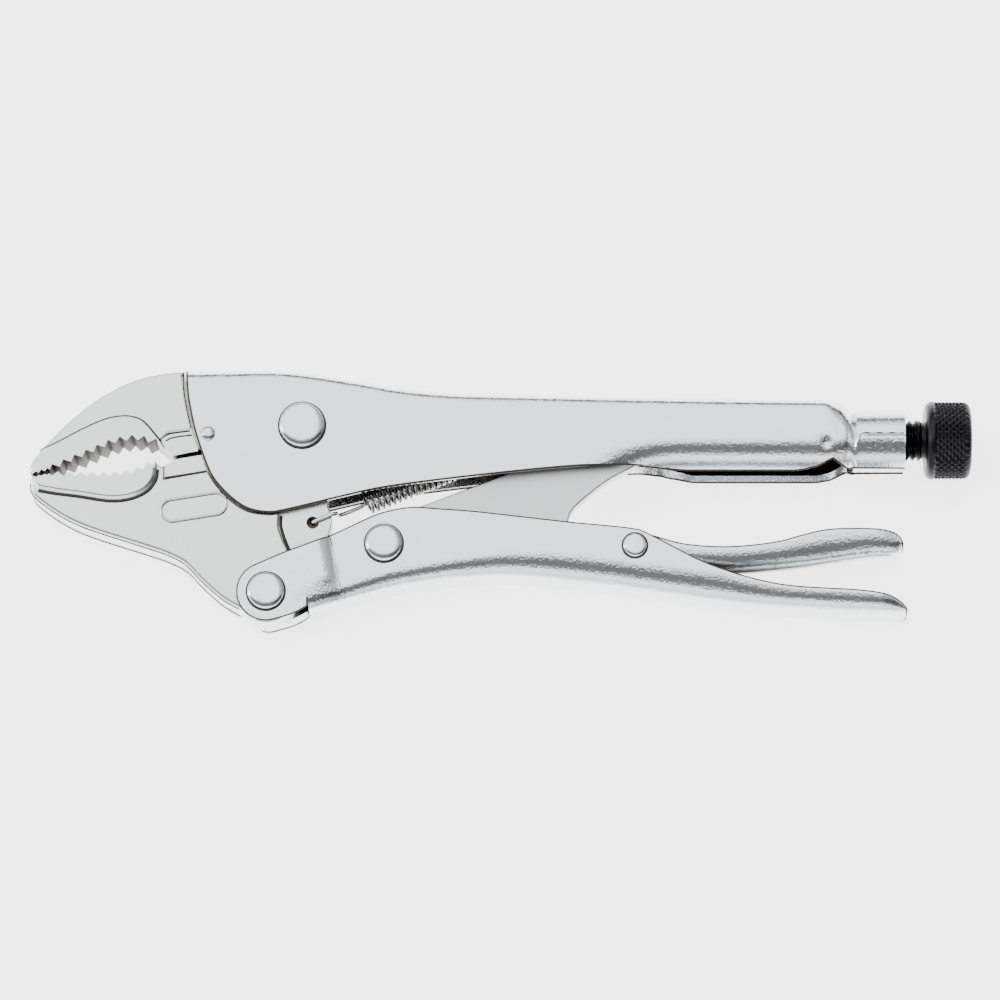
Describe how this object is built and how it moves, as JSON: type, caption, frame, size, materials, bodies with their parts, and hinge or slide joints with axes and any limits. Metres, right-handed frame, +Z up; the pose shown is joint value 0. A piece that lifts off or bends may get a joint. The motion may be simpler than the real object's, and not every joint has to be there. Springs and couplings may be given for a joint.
{
  "type": "locking pliers",
  "caption": "Curved-jaw locking pliers with a wire cutter, an over-centre lever handle, a release lever and a knurled adjusting screw.",
  "frame": {"origin": "bottom centre of the bounding box, with the tool lying on its side: z = 0 is the plane its lowest rivet head rests on", "axes": "+X from the jaws to the adjusting screw, +Y from the lever handle to the fixed handle, +Z up through the tool's thickness"},
  "size_m": [0.2256, 0.0617, 0.021],
  "materials": {
    "handle_sheet": "satin nickel plate on pressed sheet",
    "jaw_forging": "satin nickel plate on a forging",
    "rivet_steel": "polished nickel plate",
    "link_steel": "satin nickel plate",
    "spring_wire": "drawn spring wire",
    "black_steel": "black oxide"
  },
  "bodies": {
    "handle": {"fixed_handle": "handle_sheet", "upper_jaw": "jaw_forging", "upper_jaw_pin": "rivet_steel", "jaw_pivot_rivet": "rivet_steel", "spring": "spring_wire"},
    "jaw": {"lower_jaw": "jaw_forging"},
    "lever": {"lever_handle": "handle_sheet", "lever_pivot_rivet": "rivet_steel", "link_rivet": "rivet_steel", "release_rivet": "rivet_steel"},
    "link": {"toggle_link": "link_steel"},
    "release": {"release_lever": "handle_sheet"},
    "screw": {"adjusting_screw": "black_steel"},
    "knob": {"screw_knob": "black_steel"}
  },
  "joints": [
    {"name": "jaw_open", "type": "hinge", "parent": "handle", "child": "jaw", "pos_m": [-0.0476, 0.01685, 0.01035], "axis": [0, 0, 1], "range_deg": [0, 15.6], "deforming": ["spring"]},
    {"name": "lever_swing", "type": "hinge", "parent": "jaw", "child": "lever", "pos_m": [-0.0559, -0.02365, 0.01035], "axis": [0, 0, 1], "range_deg": [-52, 0]},
    {"name": "link_fold", "type": "hinge", "parent": "lever", "child": "link", "pos_m": [-0.0279, -0.01185, 0.01035], "axis": [0, 0, 1], "range_deg": [0, 58.5]},
    {"name": "release_press", "type": "hinge", "parent": "lever", "child": "release", "pos_m": [0.0319, -0.01235, 0.01035], "axis": [0, 0, 1], "range_deg": [-8, 0]},
    {"name": "screw_travel", "type": "slide", "parent": "handle", "child": "screw", "axis": [1, 0, 0], "range_m": [0, 0.012]},
    {"name": "knob_turn", "type": "hinge", "parent": "screw", "child": "knob", "pos_m": [0.1072, 0.01465, 0.01035], "axis": [1, 0, 0], "range_deg": [0, 2905]}
  ],
  "couplings": [
    {"joint": "jaw_open", "follows": "lever_swing", "ratio": -0.298},
    {"joint": "link_fold", "follows": "lever_swing", "ratio": -1.12},
    {"joint": "knob_turn", "follows": "screw_travel", "rad_per_m": 4188.8}
  ]
}
